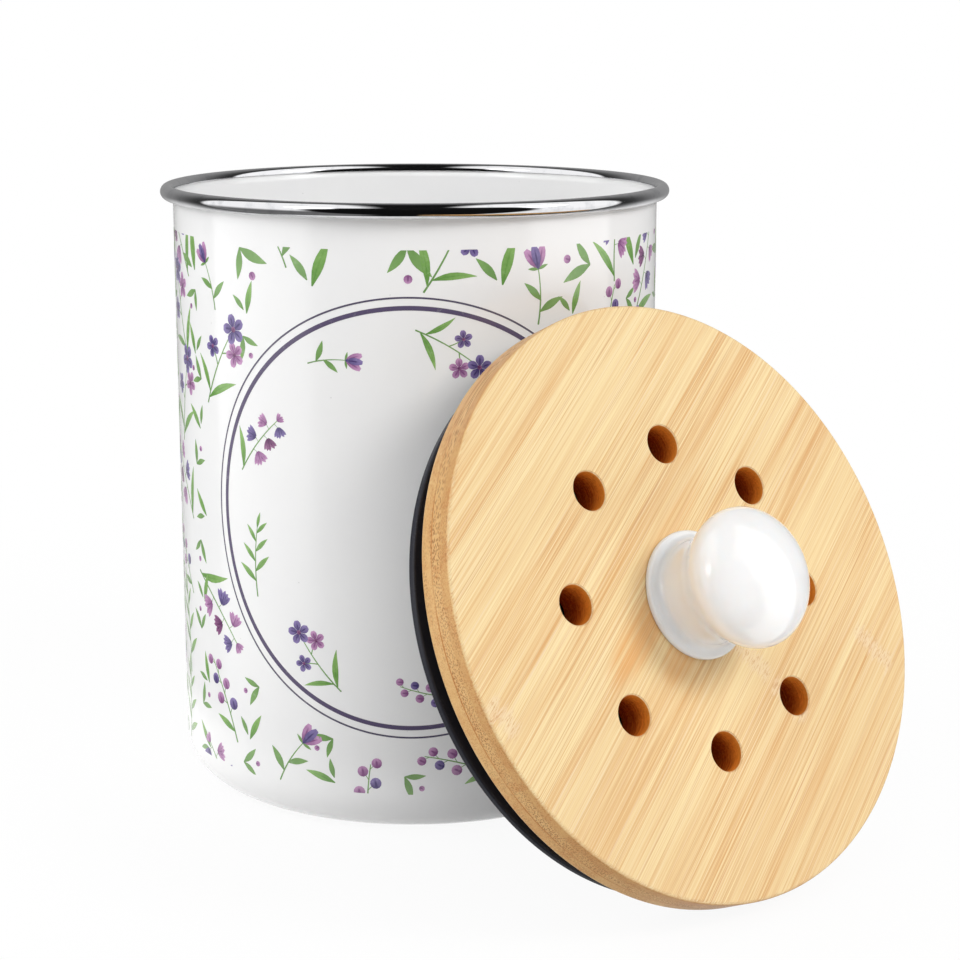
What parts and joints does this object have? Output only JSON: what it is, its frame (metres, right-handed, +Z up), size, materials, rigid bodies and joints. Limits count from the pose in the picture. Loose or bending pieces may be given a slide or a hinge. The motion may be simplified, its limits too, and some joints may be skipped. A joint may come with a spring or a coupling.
{
  "type": "compost caddy",
  "caption": "Round enamelled steel compost caddy with a stainless rim, and a vented bamboo lid with a knob, seal and charcoal filter, leaning beside it.",
  "frame": {"origin": "centre of the bin's base, on the surface it stands on", "axes": "+Z up along the bin's axis; -Y towards the viewer's side of the picture, where the lid leans to the right; +X to the viewer's right"},
  "size_m": [0.2641, 0.2858, 0.22],
  "materials": {
    "enamel": "glossy white vitreous enamel on steel, with a printed sprig pattern",
    "stainless": "polished stainless steel",
    "bamboo": "satin oiled bamboo",
    "knob_glaze": "glossy white glaze",
    "insert_brass": "plain brass",
    "screw_steel": "zinc plated steel",
    "black_moulding": "fine moulded grain",
    "seal_rubber": "satin silicone rubber",
    "carbon_felt": "needled carbon felt"
  },
  "bodies": {
    "bin": {"bin_shell": "enamel", "rim_trim": "stainless"},
    "lid": {"lid_upper_ply": "bamboo", "lid_lower_ply": "bamboo", "knob": "knob_glaze", "knob_insert": "insert_brass", "knob_screw": "screw_steel", "knob_flat_washer": "screw_steel", "knob_lock_washer": "screw_steel", "filter_housing": "black_moulding", "housing_screws": "screw_steel", "sealing_ring": "seal_rubber"},
    "filter_cartridge": {"filter_cup": "black_moulding", "charcoal_filter": "carbon_felt"}
  },
  "joints": [
    {"name": "lid_lift", "type": "slide", "parent": "bin", "child": "lid", "axis": [0.6015, -0.6794, 0.4202], "range_m": [0, 0.15]},
    {"name": "filter_pull", "type": "slide", "parent": "lid", "child": "filter_cartridge", "axis": [-0.6015, 0.6794, -0.4202], "range_m": [0, 0.0083]}
  ]
}
